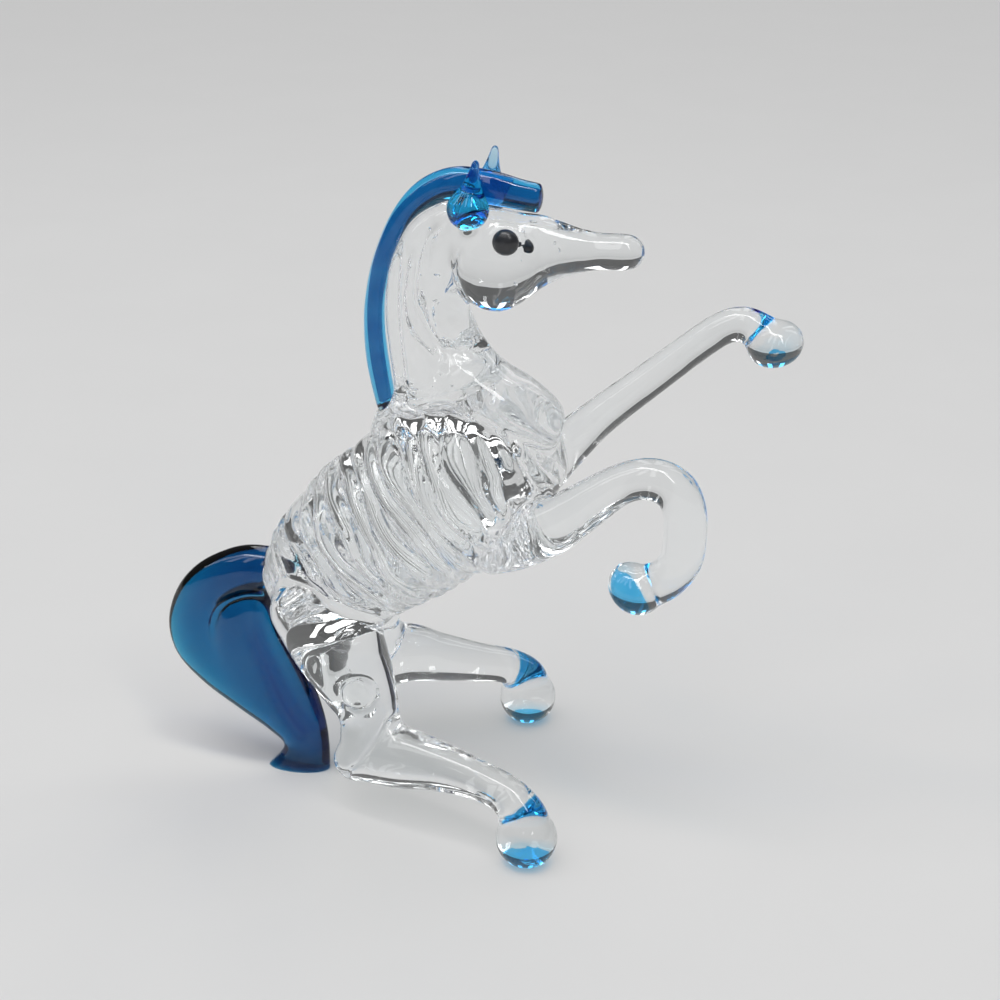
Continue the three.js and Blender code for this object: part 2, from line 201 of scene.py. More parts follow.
barrel = {
    "rump": (-29.3, 33.7),
    "saddle": (-12.0, 50.8),
    "chest": (11.2, 64.8),
    "radii": (8.4, 12.2, 13.9, 14.6, 15.1, 13.6, 8.6),
    "width": 0.95,  # for each unit of depth
    "ends": (2.5, 2.6),
    "steps": 160,  # along the length
    "ringEvery": 5,  # steps
    "turns": 16,
    "wound": (0.01, 0.985),  # shares of the length
    "windFade": 0.03,  # share of the length in which the winding starts and ends
    "relief": 1.0,
    "level": 0.75,  # share of a turn's height that lies under the barrel's own surface
    "beside": (0.25, 0.4),  # mm off that surface where the ribs start to fade, and in how much they do
    "waver": (  # how much, round, along, from where
        (0.20, 2, 0.9, 0), (0.16, 3, -1.7, 1), (0.09, 5, 2.3, 2.2),
    ),
    "uneven": (0.4, 3, 1.3),  # how much lower some of a turn lies, round, along
    "wall": 3.2,
    "hollow": (0.06, 0.93),  # shares of the length
    "hollowMesh": (72, 168),  # round, along
    "blunt": 4,  # how blunt the ends of the hollow are
    "innerRelief": 1.0,
}


def barrelRun():  # even shares of the barrel's length: x, z and radius
    steps = barrel["steps"]
    (x0, z0), (x1, z1), (x2, z2) = barrel["rump"], barrel["saddle"], barrel["chest"]
    t = np.linspace(0, 1, 5 * steps + 1)
    x = (1 - t) ** 2 * x0 + 2 * t * (1 - t) * x1 + t ** 2 * x2
    z = (1 - t) ** 2 * z0 + 2 * t * (1 - t) * z1 + t ** 2 * z2
    length = np.concatenate(([0], np.cumsum(np.hypot(np.diff(x), np.diff(z)))))
    share = np.linspace(0, 1, steps + 1)
    radius = np.array(drawnThrough([(r,) for r in barrel["radii"]], steps))[:, 0]
    x = np.interp(share * length[-1], length, x)
    z = np.interp(share * length[-1], length, z)
    return share, x, z, radius


barrelShare, barrelX, barrelZ, barrelRadius = barrelRun()
wayX, wayZ = np.gradient(barrelX), np.gradient(barrelZ)
wayLength = np.hypot(wayX, wayZ)
wayX, wayZ = wayX / wayLength, wayZ / wayLength


def crestAt(share, angle):  # 1 on the crest of a turn, 0 in the groove between two turns
    low, high = barrel["wound"]
    straight = barrel["turns"] * (share - low) / (high - low) - angle / (2 * np.pi)
    turn = straight
    for much, about, on, start in barrel["waver"]:
        turn = turn + much * np.sin(about * angle + on * straight + start)
    across = turn - np.floor(turn)
    much, about, on = barrel["uneven"]
    height = 1 - much / 2 + much / 2 * np.sin(about * angle + on * straight)
    return height * (1 - (2 * across - 1) ** 2)


def barrelGlass():
    rings = []
    for place in range(0, barrel["steps"] + 1, barrel["ringEvery"]):
        way = Vector((wayX[place], 0, wayZ[place]))
        radius = barrelRadius[place] * mm
        up = Vector((-way.z, 0, way.x)) * radius
        side = Vector((0, -radius * barrel["width"], 0))
        rings.append((spot(barrelX[place], 0, barrelZ[place]), up, side))
    return gather("barrelGlass", rounded(rings, barrel["ends"]), sides=32)


# For each spot: share of the length, angle round the axis, distance from it, and the barrel's own radius
def onBarrel(spots, atOnce=20000):
    x, y, z = spots[:, 0] - boxShift, spots[:, 1], spots[:, 2]
    nearest = np.empty(len(x), int)
    for start in range(0, len(x), atOnce):
        part = slice(start, start + atOnce)
        nearest[part] = ((x[part, None] - barrelX) ** 2 + (z[part, None] - barrelZ) ** 2).argmin(1)
    dx, dz = x - barrelX[nearest], z - barrelZ[nearest]
    ahead = dx * wayX[nearest] + dz * wayZ[nearest]
    up = -dx * wayZ[nearest] + dz * wayX[nearest]
    share = barrelShare[nearest] + ahead / wayLength[nearest] * (barrelShare[1] - barrelShare[0])
    side = y / barrel["width"]
    return share, np.arctan2(side, up), np.hypot(up, side), barrelRadius[nearest]


def windRibs(piece):
    spots = places(piece)
    share, angle, radius, smooth = onBarrel(spots)
    (low, high), fade, (off, within) = barrel["wound"], barrel["windFade"], barrel["beside"]
    mask = np.clip((share - low) / fade, 0, 1) * np.clip((high - share) / fade, 0, 1)
    mask = mask * np.clip(1 - (np.abs(radius - smooth) - off) / within, 0, 1)
    rise = barrel["relief"] * (crestAt(share, angle) - barrel["level"]) * mask
    putPlaces(piece, spots + outward(piece) * rise[:, None])


def facesInward(piece):  # for an air space in the glass
    only(piece)
    bpy.ops.object.mode_set(mode="EDIT")
    bpy.ops.mesh.select_all(action="SELECT")
    bpy.ops.mesh.normals_make_consistent(inside=True)
    bpy.ops.object.mode_set(mode="OBJECT")
    return piece


def hollowInside():
    around, along = barrel["hollowMesh"]
    bpy.ops.object.select_all(action="DESELECT")
    bpy.ops.mesh.primitive_uv_sphere_add(segments=around, ring_count=along, radius=1)
    hollow = bpy.context.object
    ball = places(hollow) * mm
    low, high = barrel["hollow"]
    tilt = np.arccos(np.clip(ball[:, 2], -1, 1)) / np.pi
    share = low + (high - low) * tilt
    angle = np.arctan2(ball[:, 1], ball[:, 0])
    blunt = 1 - (1 - np.clip(np.sin(np.pi * tilt), 0, 1)) ** barrel["blunt"]
    radius = np.interp(share, barrelShare, barrelRadius) - barrel["wall"]
    radius = (radius + barrel["innerRelief"] * (1 - crestAt(share, angle))) * blunt
    x, z = np.interp(share, barrelShare, barrelX), np.interp(share, barrelShare, barrelZ)
    onX, onZ = np.interp(share, barrelShare, wayX), np.interp(share, barrelShare, wayZ)
    up, side = np.cos(angle) * radius, np.sin(angle) * radius * barrel["width"]
    putPlaces(hollow, np.stack((x - onZ * up + boxShift, side, z + onX * up), 1))
    return facesInward(hollow)


# Neck and head

neck = {
    "edges": (
        (-4.4, 103.6, 1.6, 100.6, 2.8), (-8.8, 100.4, -0.6, 96.0, 3.6), (-12.2, 93.8, -1.6, 91.4, 4.3),
        (-13.1, 86.0, 0.4, 87.0, 5.2), (-12.6, 79.3, 2.6, 81.9, 6.0), (-11.9, 73.5, 6.2, 77.7, 7.0),
        (-12.6, 68.4, 11.4, 74.7, 7.8), (-16.0, 65.2, 16.1, 69.7, 8.0), (-12.0, 60.0, 14.0, 63.0, 6.5),
    ),
    "ends": (1.2, 2.0),
    "steps": 32,
    "flutes": (  # shallow lines left by the drawing out
        {"through": ((-4.4, 102), (-6.7, 96.9), (-7.4, 91.9), (-7.3, 88.2), (-5.5, 84.1), (-3.3, 81),
                     (-3.4, 77)),
         "depth": 1.2, "width": 1.1, "fades": (0.1, 0.2)},
        {"through": ((-3.1, 102), (-5.1, 97), (-5.6, 92), (-5.3, 86.5), (-3.8, 82.8), (-0.6, 79.3)),
         "depth": 1.0, "width": 1.1, "fades": (0.1, 0.2)},
        {"through": ((-1.8, 92.5), (-3.6, 88.4), (-3.2, 84.7), (-0.8, 81.6), (2.6, 78.4)),
         "depth": 0.9, "width": 1.1, "fades": (0.2, 0.3)},
        {"through": ((-9.2, 99), (-10.4, 93), (-10.7, 87), (-10.2, 81), (-9.6, 76), (-9.8, 71)),
         "depth": 0.8, "width": 1.1, "fades": (0.2, 0.2)},
    ),
}
head = {
    "edges": (
        (2.8, 103.3, 2.8, 86.8, 5.4), (5.6, 103.2, 5.6, 86.6, 5.6), (8.6, 102.8, 8.6, 88.0, 5.3),
        (11.8, 102.6, 11.8, 90.6, 4.6), (14.8, 101.7, 14.8, 92.5, 3.9), (18.0, 100.7, 18.0, 93.6, 3.4),
        (21.2, 100.2, 21.2, 94.4, 3.1), (25.2, 100.3, 25.2, 94.4, 3.0),
    ),
    "ends": (4.8, 3.1),
    "steps": 28,
}
seeds = {  # fine bubbles in the glass: how many, and between which shares along and across
    "neck": ((26, (0.62, 0.78), (-0.85, -0.5)), (16, (0.1, 0.75), (-0.6, 0.6))),
    "head": ((6, (0.1, 0.8), (-0.4, 0.4)),),
    "deep": 0.6,  # share of the thickness
    "radii": (0.1, 0.28),
    "steps": 200,  # places along the neck or the head
    "draw": 5,
}


def seedBubbles():
    draw, steps = np.random.default_rng(seeds["draw"]), seeds["steps"]
    bubbles = []
    bpy.ops.object.select_all(action="DESELECT")
    for edges, groups in ((neck["edges"], seeds["neck"]), (head["edges"], seeds["head"])):
        run = drawnThrough(edges, steps)
        for count, along, across in groups:
            for _ in range(count):
                xOne, zOne, xOther, zOther, half = run[int(steps * draw.uniform(*along))]
                over = draw.uniform(*across)
                x = (xOne + xOther) / 2 + over * (xOther - xOne) / 2
                z = (zOne + zOther) / 2 + over * (zOther - zOne) / 2
                y = draw.uniform(-1, 1) * seeds["deep"] * half * math.sqrt(1 - over ** 2)
                bpy.ops.mesh.primitive_ico_sphere_add(
                    subdivisions=2, radius=draw.uniform(*seeds["radii"]) * mm, location=spot(x, y, z))
                bubbles.append(bpy.context.object)
    return facesInward(joined("seeds", bubbles))


# Legs

legs = {
    "leftFore": (
        (11.0, 6.2, 57.0, 4.6, 4.2), (15.8, 7.0, 62.0, 3.8, 3.7), (20.7, 7.5, 66.8, 3.2, 3.2),
        (28.7, 8.0, 73.6, 2.9, 2.9), (36.5, 8.5, 80.2, 2.75, 2.75), (40.4, 9.0, 82.9, 2.75, 2.75),
        (43.5, 9.0, 83.7, 2.75, 2.75), (46.4, 9.0, 82.5, 2.85, 2.85), (49.4, 9.0, 80.9, 3.0, 3.0),
    ),
    "rightFore": (
        (4.6, -7.8, 48.7, 4.5, 4.5), (9.8, -8.8, 51.0, 4.8, 4.6), (15.2, -9.5, 54.1, 4.6, 4.4),
        (20.0, -10.0, 57.8, 4.0, 4.0), (26.3, -10.5, 62.7, 3.3, 3.3), (31.1, -11.0, 64.3, 3.35, 3.35),
        (35.0, -11.0, 62.9, 3.45, 3.45), (36.7, -11.0, 59.0, 3.5, 3.5), (36.8, -11.0, 54.0, 3.5, 3.5),
        (36.3, -11.0, 50.4, 3.4, 3.4), (34.0, -11.0, 47.2, 3.4, 3.4), (31.2, -11.0, 45.6, 3.5, 3.5),
        (28.6, -11.0, 44.8, 3.6, 3.6),
    ),
    "rightThigh": (
        (-24.9, -8.5, 37.5, 8.0, 6.0), (-20.5, -10.0, 30.8, 8.0, 6.4), (-17.1, -10.4, 23.9, 6.7, 5.8),
        (-15.0, -10.8, 18.4, 5.2, 4.9), (-15.4, -11.0, 12.6, 4.7, 4.5), (-17.9, -11.0, 8.2, 3.7, 3.7),
    ),
    "leftThigh": (
        (-25.5, 8.5, 37.5, 8.0, 6.0), (-22.6, 10.0, 30.8, 7.8, 6.4), (-20.6, 10.4, 24.6, 6.4, 5.8),
        (-19.4, 10.8, 19.8, 5.2, 4.9), (-19.8, 11.0, 15.0, 4.7, 4.5), (-21.9, 11.0, 10.9, 3.7, 3.7),
    ),
    "rightCannon": (
        (-16.0, -11.0, 10.6, 5.2, 4.6), (-9.2, -13.5, 11.6, 5.4, 4.8), (-1.8, -16.5, 12.3, 4.2, 4.1),
        (5.6, -19.5, 12.1, 3.3, 3.3), (10.4, -21.8, 11.3, 3.3, 3.3), (13.5, -23.1, 8.7, 3.6, 3.6),
        (14.5, -23.5, 5.4, 3.9, 3.9),
    ),
    "leftCannon": (
        (-20.4, 11.0, 15.4, 5.2, 4.6), (-14.3, 13.2, 17.0, 5.5, 4.8), (-8.4, 16.4, 15.0, 4.4, 4.3),
        (-1.6, 19.2, 13.1, 3.5, 3.5), (3.0, 21.6, 11.5, 3.3, 3.3), (6.1, 23.1, 8.9, 3.6, 3.6),
        (7.0, 23.5, 5.4, 3.9, 3.9),
    ),
}
legEnds = {"Fore": (2.0, 1.0), "Thigh": (5.0, 2.6), "Cannon": (1.5, 1.0)}
legSteps = 5  # for each row

hockWeld = {"depth": 0.85, "width": 0.42, "fades": (0.12, 0.12)}  # where a hind rod was stuck to its thigh
thighMark = {  # the round mark on each thigh
    "depth": 0.4, "width": 0.4, "fades": (0.01, 0.01), "radius": 3.1, "points": 12,
}


def ringRound(x, z):
    turns = [2 * math.pi * step / thighMark["points"] for step in range(thighMark["points"] + 1)]
    radius = thighMark["radius"]
    return [(x + radius * math.cos(turn), z + radius * math.sin(turn)) for turn in turns]


legSeams = (
    {**hockWeld, "side": -1, "through": ((-18.6, 7.6), (-15.6, 11.7), (-13.0, 15.5), (-10.2, 19.9))},
    {**hockWeld, "side": 1, "through": ((-22.6, 10.3), (-19.6, 14.4), (-17.0, 18.2), (-14.2, 22.6))},
    {**thighMark, "side": -1, "through": ringRound(-15.7, 24.2)},
    {**thighMark, "side": 1, "through": ringRound(-19.2, 24.9)},
)
outerFace = 8  # mm from the midplane, where a leg's outer face starts
seamMesh = {"beside": 2, "least": 0.25, "cuts": 1}  # finer mesh beside the seams

hooves = {  # flat: squash towards the sole, blue: mm of blue there
    "left_fore": {
        "centre": (48.4, 9.0, 80.6), "radius": 4.7, "flat": 0.82, "sole": (0.25, 0, -1), "blue": 2.0},
    "right_fore": {
        "centre": (29.2, -11.0, 45.1), "radius": 4.7, "flat": 0.82, "sole": (-0.8, 0, -1), "blue": 2.0},
    "left_hind": {
        "centre": (6.4, 23.5, 4.7), "radius": 5.1, "flat": 1, "sole": (0, 0, -1), "blue": 1.7},
    "right_hind": {
        "centre": (13.9, -23.5, 4.7), "radius": 5.1, "flat": 1, "sole": (0, 0, -1), "blue": 1.7},
}
soleUnder = 0.25  # mm of clear glass over the blue
soleMark = {"beside": 0.6, "soft": 0.5}  # mm round the bead, and in which the blue fades out


def bead(name, hoof, under=0):
    turn = Vector((0, 0, -1)).rotation_difference(Vector(hoof["sole"])).to_euler()
    bpy.ops.object.select_all(action="DESELECT")
    bpy.ops.mesh.primitive_uv_sphere_add(
        segments=48, ring_count=32, radius=(hoof["radius"] - under) * mm,
        location=spot(*hoof["centre"]), rotation=turn)
    ball = bpy.context.object
    ball.scale = (1, 1, hoof["flat"])
    return joined(name, [ball])


def middle(centre):  # the same place among a mesh's corners
    return np.array(centre) + (boxShift, 0, 0)


def seamAt(hoof):  # from the bead's middle to where its blue starts
    return min(hoof["radius"] * hoof["flat"], hoof["centre"][2]) - hoof["blue"]


def soleDepth(hoof, spots):  # how deep under the blue seam each spot lies
    sole = np.array(Vector(hoof["sole"]).normalized())
    return (spots - middle(hoof["centre"])) @ sole - seamAt(hoof)


def cutAway(piece, point, way):  # takes off what lies beyond a plane and closes the cut
    only(piece)
    bpy.ops.object.mode_set(mode="EDIT")
    bpy.ops.mesh.select_all(action="SELECT")
    bpy.ops.mesh.bisect(plane_co=point, plane_no=way, use_fill=True, clear_outer=True)
    bpy.ops.object.mode_set(mode="OBJECT")


def soleGlass(name, hoof):  # the blue that was melted into the bead
    cap = bead(name + "_sole_glass", hoof, soleUnder)
    sole = Vector(hoof["sole"]).normalized()
    cutAway(cap, spot(*hoof["centre"]) + sole * seamAt(hoof) * mm, -sole)
    cutAway(cap, Vector((0, 0, soleUnder * mm)), Vector((0, 0, -1)))
    return cap


# Clear glass: the gathers are fused, and the hot glass runs into the welds

withers = {  # the clear cone that the mane ends on
    "rows": ((-13.3, 0, 69.4, 1.3, 1.3), (-13.5, 0, 66.4, 2.2, 2.2), (-13.4, 0, 62.6, 3.6, 3.4)),
    "ends": (0.8, 1.0),
    "steps": 10,
}
earSeats = {  # clear glass drawn up round each ear's root
    "rows": ((1.2, 1.4, 99.6, 3.2, 3.0), (1.5, 3.0, 101.4, 2.4, 2.3), (1.6, 3.9, 102.5, 1.9, 1.9)),
    "ends": (1.0, 0.8),
    "steps": 10,
}
fused = {"voxel": 0.48, "factor": 0.5, "smooth": 8, "flows": 12, "flowSteps": 10, "settle": 4}


def flowIntoWelds(piece):  # creases fill, and what bulges stays
    ends = np.empty(len(piece.data.edges) * 2, int)
    piece.data.edges.foreach_get("vertices", ends)
    here = np.concatenate((ends[0::2], ends[1::2]))
    there = np.concatenate((ends[1::2], ends[0::2]))
    count = len(piece.data.vertices)
    around = np.bincount(here, minlength=count)
    for _ in range(fused["flows"]):
        spots, normals = places(piece), outward(piece)
        for _ in range(fused["flowSteps"]):
            mean = np.stack([np.bincount(here, spots[there, axis], count) / around for axis in range(3)], 1)
            rise = ((mean - spots) * normals).sum(1)
            spots = spots + normals * np.maximum(rise, 0)[:, None]
        putPlaces(piece, spots)


def clearGlass():
    parts = [
        barrelGlass(),
        gather("neckGlass", rounded(ringsBetween(neck["edges"], neck["steps"]), neck["ends"])),
        gather("headGlass", rounded(ringsBetween(head["edges"], head["steps"]), head["ends"])),
        gather("withersGlass", rounded(ringsAlong(withers["rows"], withers["steps"]), withers["ends"])),
    ]
    for side in (1, -1):
        rows = [(x, side * y, z, deep, wide) for x, y, z, deep, wide in earSeats["rows"]]
        parts.append(gather("earSeatGlass", rounded(ringsAlong(rows, earSeats["steps"]), earSeats["ends"])))
    for name, rows in legs.items():
        ends = next(ends for kind, ends in legEnds.items() if name.endswith(kind))
        parts.append(gather(name + "Glass", rounded(ringsAlong(rows, legSteps * len(rows)), ends)))
    for name, hoof in hooves.items():
        parts.append(bead(name + "Bead", hoof))
    whole = joined("clear_glass", parts)
    print("clear glass drawn:", len(whole.data.polygons), "faces")
    finishWith(whole, "REMESH", mode="VOXEL", voxel_size=fused["voxel"] * mm, adaptivity=0)
    finishWith(whole, "SMOOTH", factor=fused["factor"], iterations=fused["smooth"])
    flowIntoWelds(whole)
    finishWith(whole, "SMOOTH", factor=fused["factor"], iterations=fused["settle"])
    windRibs(whole)
    print("clear glass fused:", len(whole.data.polygons), "faces")
    return whole


def onSeam(spots, line):  # on the outer face of its own leg
    return alongLine(spots, line) * np.clip(line["side"] * spots[:, 1] - outerFace, 0, 1)


def fineSeams(piece):
    spots = places(piece)
    near = np.zeros(len(spots), bool)
    for line in legSeams:
        near |= onSeam(spots, dict(line, width=line["width"] * seamMesh["beside"])) > seamMesh["least"]
    only(piece)
    bpy.ops.object.mode_set(mode="EDIT")
    bpy.ops.mesh.select_all(action="DESELECT")
    bpy.ops.mesh.select_mode(type="VERT")
    bpy.ops.object.mode_set(mode="OBJECT")
    piece.data.vertices.foreach_set("select", near)
    bpy.ops.object.mode_set(mode="EDIT")
    bpy.ops.mesh.subdivide(number_cuts=seamMesh["cuts"], smoothness=1.0)
    bpy.ops.object.mode_set(mode="OBJECT")


# Eyes: two dark beads, each in a low collar of clear glass

eyes = {
    "left": {"centre": (8.9, 5.0, 95.7), "radius": 1.0, "tall": 0.6},
    "right": {"centre": (7.1, -4.7, 99.4), "radius": 2.1, "tall": 1},
    "bulge": (0.75, 0.45),  # outwards and into the head, for each unit of radius
    "collar": (0.3, 0.16, 0.4),  # beyond the eye's edge, height, width
}


def eyeBead(side):
    eye = eyes[side]
    bpy.ops.object.select_all(action="DESELECT")
    bpy.ops.mesh.primitive_uv_sphere_add(
        segments=40, ring_count=24, radius=eye["radius"] * mm, location=spot(*eye["centre"]),
        rotation=(math.pi / 2, 0, 0))
    piece = joined(side + "_eye_bead", [bpy.context.object])
    centre = middle(eye["centre"])
    off = places(piece) - centre
    out, into = eyes["bulge"]
    off[:, 1] *= np.where(off[:, 1] * centre[1] > 0, out, into)
    off[:, 2] *= eye["tall"]
    putPlaces(piece, centre + off)
    return piece


def flutesAndCollars(piece):
    spots, normals = places(piece), outward(piece)
    rise = np.zeros(len(spots))
    for line in neck["flutes"]:
        rise -= line["depth"] * alongLine(spots, line)
    for line in legSeams:
        rise -= line["depth"] * onSeam(spots, line)
    beyond, height, width = eyes["collar"]
    for side in ("left", "right"):
        off = spots - middle(eyes[side]["centre"])
        off[:, 2] /= eyes[side]["tall"]
        ring = np.linalg.norm(off, axis=1) - eyes[side]["radius"] - beyond
        rise += height * np.exp(-(ring / width) ** 2)
    putPlaces(piece, spots + normals * rise[:, None])


clear = clearGlass()
fineSeams(clear)
flutesAndCollars(clear)
standOnFloor(clear)
eyeBeads = {side + "_eye": eyeBead(side) for side in ("left", "right")}

# Blue glass: mane, ears, tail and soles

mane = {
    "edges": (
        (-14.6, 68.2, -11.6, 68.2, 1.5), (-15.6, 72.4, -12.1, 72.4, 1.7), (-16.4, 77.0, -12.8, 77.4, 1.8),
        (-16.7, 82.2, -13.3, 82.8, 1.8), (-16.4, 87.4, -13.1, 88.4, 1.8), (-14.9, 94.4, -11.7, 94.6, 1.9),
        (-11.7, 102.0, -8.7, 100.5, 2.0), (-7.5, 107.1, -4.4, 103.6, 2.2), (-2.0, 109.6, -0.8, 104.4, 2.4),
        (4.0, 109.3, 4.0, 103.9, 2.4), (8.8, 108.1, 8.5, 103.3, 2.3), (11.5, 107.6, 11.2, 103.0, 2.2),
    ),
    "ends": (0.6, 0.8),
    "steps": 60,
    "core": (0.42, 0.5),  # how far the darker core reaches to the edges and to the sides
}
tail = {
    "edges": (
        (-30.5, 41.6, -31.5, 33.5, 3.6), (-37.5, 42.0, -34.6, 34.6, 3.8), (-42.5, 40.6, -34.6, 33.2, 3.8),
        (-47.4, 37.5, -34.3, 31.8, 3.6), (-51.0, 32.7, -33.6, 29.8, 3.4), (-52.7, 26.4, -32.1, 26.7, 3.2),
        (-51.4, 20.4, -30.1, 22.8, 3.0), (-47.0, 15.3, -28.0, 18.3, 2.8), (-41.0, 10.8, -26.3, 13.4, 2.6),
        (-35.6, 7.0, -25.3, 9.0, 2.4), (-33.0, 4.0, -24.9, 4.6, 2.3), (-36.0, -0.2, -24.9, -0.2, 2.6),
    ),
    "ends": (0.5, 0.6),
    "steps": 80,
    "deepens": (-60, -30, 0.8),  # x - z between which the blue deepens, and how much
    "beyondCrease": (1.5, 0.1),  # mm past the crease in which it deepens further, and how much
    "foot": (0.5, 4.5, 0.2),  # heights between which the blue pales again, and how deep it stays
    "strands": (  # grooves between the strands, depths as shares of the thickness; blue is painted shade, how much darker the blue is made along each groove
        {"through": ((-33.6, 32.4), (-35.9, 33.1), (-37.7, 33.3), (-39.5, 32.8), (-41.2, 32.0), (-43.0, 30.6),
                     (-44.3, 28.3), (-44.8, 25.5), (-44.5, 22.8), (-43.4, 19.6), (-41.6, 16.6)),
         "depth": 0.46, "width": 1.7, "blue": 0.45, "fades": (0.08, 0.35)},
        {"through": ((-37.4, 31.6), (-37.6, 29.0), (-37.3, 26.1), (-36.4, 22.6), (-35.2, 19.2), (-33.6, 14.8),
                     (-31.9, 11.2), (-30.1, 8.3), (-28.4, 6.1)),
         "depth": 0.13, "width": 1.05, "blue": 1.0, "fades": (0.3, 0.1)},
    ),
}
ears = {
    "radius": 3.3,
    "height": 7.8,
    "spread": 4.5,
    "roots": {"left": (2.6, 104.3), "right": (1.2, 104.3)},
    "drawn": ((-0.95, 0.3), (-0.7, 0.71), (-0.35, 0.94), (0, 1)),  # height and radius below the widest place
    "tip": (0.93, 0.72, 0.52, 0.38, 0.28, 0.2),  # radius at even steps above it
    "ends": (0.3, 1.1),
    "steps": 3,  # for each row
    "lean": 0.17,
}


def tailGlass():
    piece = gather("tail_glass", rounded(ringsBetween(tail["edges"], tail["steps"]), tail["ends"]), sides=48)
    spots = places(piece)
    x, z = spots[:, 0] - boxShift, spots[:, 2]
    low, high, most = tail["deepens"]
    deep = most * np.clip((x - z - low) / (high - low), 0, 1)
    for line in tail["strands"]:
        groove = alongLine(spots, line)
        spots[:, 1] *= 1 - line["depth"] * groove
        # painted shade: the blue is made darker along each groove
        deep = deep + line["blue"] * groove
    putPlaces(piece, spots)
    crease = np.array(tail["strands"][-1]["through"])[::-1]
    within, more = tail["beyondCrease"]
    beyond = np.clip((x - np.interp(z, crease[:, 1], crease[:, 0])) / within, 0, 1) * (z < crease[-1, 1])
    low, high, least = tail["foot"]
    foot = np.clip((z - low) / (high - low), least, 1)
    # deeper blue of the glass, plus painted shade along the grooves
    layer = piece.data.attributes.new("deepBlueAndGrooveShade", "FLOAT", "POINT")
    layer.data.foreach_set("value", np.clip(deep + more * beyond, 0, 1) * foot)
    return piece


def maneCore():
    reach, thick = mane["core"]
    rows = []
    for xOne, zOne, xOther, zOther, half in mane["edges"]:
        x, z = (xOne + xOther) / 2, (zOne + zOther) / 2
        rows.append((
            x + (xOne - x) * reach, z + (zOne - z) * reach,
            x + (xOther - x) * reach, z + (zOther - z) * reach, half * thick))
    return gather("mane_core", ringsBetween(rows, mane["steps"]))


def earGlass(side):
    x, z = ears["roots"][side]
    y = ears["spread"] * (1 if side == "left" else -1)
    outline = [(rise * ears["radius"], wide) for rise, wide in ears["drawn"]]
    for place, wide in enumerate(ears["tip"], 1):
        outline.append((ears["height"] * place / (len(ears["tip"]) + 1), wide))
    rows = []
    for rise, wide in outline:
        radius = wide * ears["radius"]
        rows.append((x + ears["lean"] * rise, y, z + rise, radius, radius))
    rings = rounded(ringsAlong(rows, ears["steps"] * len(rows)), ears["ends"])
    return gather(side + "_ear_glass", rings, sides=20)


seatGap = 0.03  # mm between a piece and what it sits on
coreGap = 0.4  # mm between the mane's core and the clear glass


def seat(piece, under, gap=seatGap):  # the later piece is cut to sit on the earlier one
    only(under)
    bpy.ops.object.duplicate()
    tool = bpy.context.object
    bpy.ops.object.mode_set(mode="EDIT")
    bpy.ops.mesh.select_all(action="SELECT")
    bpy.ops.transform.shrink_fatten(value=gap * mm)
    bpy.ops.object.mode_set(mode="OBJECT")
    finishWith(piece, "BOOLEAN", operation="DIFFERENCE", solver="EXACT", object=tool)
    bpy.data.objects.remove(tool)
    return piece


blues = {
    "mane": gather("mane_glass", rounded(ringsBetween(mane["edges"], mane["steps"]), mane["ends"])),
    "tail": tailGlass(),
    "left_ear": earGlass("left"),
    "right_ear": earGlass("right"),
}
for name, piece in blues.items():
    seat(piece, clear)
    if name.endswith("ear"):
        seat(piece, blues["mane"])
standOnFloor(blues["tail"])
core = seat(maneCore(), clear, coreGap)
soles = {name + "_sole": soleGlass(name, hoof) for name, hoof in hooves.items()}
print("blue glass seated")

clear = joined("clear_glass", [clear, hollowInside(), seedBubbles()])


# Materials

class Wire:  # a socket that can stand in a sum: each sum adds its Math node
    def __init__(self, tree, socket):
        self.tree = tree
        self.socket = socket

    def node(self, kind, settings=None, inputs=None, output=0):
        made = self.tree.nodes.new(kind)
        for name, value in (settings or {}).items():
            setattr(made, name, value)
        for name, value in (inputs or {}).items():
            if isinstance(value, Wire):
                self.tree.links.new(value.socket, made.inputs[name])
            else:
                made.inputs[name].default_value = value
        return Wire(self.tree, made.outputs[output]) if made.outputs else made

    def maths(self, operation, first, second):
        return self.node("ShaderNodeMath", {"operation": operation}, {0: first, 1: second})

    def __add__(self, other):
        return self.maths("ADD", self, other)

    def __radd__(self, other):
        return self.maths("ADD", other, self)

    def __mul__(self, other):
        return self.maths("MULTIPLY", self, other)

    def __rmul__(self, other):
        return self.maths("MULTIPLY", other, self)

    def __gt__(self, other):
        return self.maths("GREATER_THAN", self, other)

    def __lt__(self, other):
        return self.maths("LESS_THAN", self, other)


def newFinish(name):
    material = bpy.data.materials.new(name)
    material.use_nodes = True
    material.node_tree.nodes.clear()
    coordinates = material.node_tree.nodes.new("ShaderNodeTexCoord")
    return material, Wire(material.node_tree, coordinates.outputs["Object"])


def noise(place, size, detail=2, rough=0.5):  # size in mm
    return place.node("ShaderNodeTexNoise", {}, {
        "Vector": place, "Scale": 1 / (size * mm), "Detail": detail, "Roughness": rough})


def mixed(place, share, first, second):
    first, second = [value if isinstance(value, Wire) else (*value, 1) for value in (first, second)]
    return place.node("ShaderNodeMix", {"data_type": "RGBA"}, {0: share, 6: first, 7: second}, output=2)


def ranged(place, value, low, high, least, most):
    return place.node("ShaderNodeMapRange", {}, {
        "Value": value, "From Min": low, "From Max": high, "To Min": least, "To Max": most})


def output(place, surface, volume=None):
    inside = {"Volume": volume} if volume else {}
    place.node("ShaderNodeOutputMaterial", {}, {"Surface": surface, **inside})


def litThrough(place, glass, tint):  # lamps shine through the glass, so its shadow is light
    path = place.node("ShaderNodeLightPath", output="Is Shadow Ray")
    through = place.node("ShaderNodeBsdfTransparent", {}, {"Color": (*tint, 1)})
    return place.node("ShaderNodeMixShader", {}, {0: path, 1: glass, 2: through})


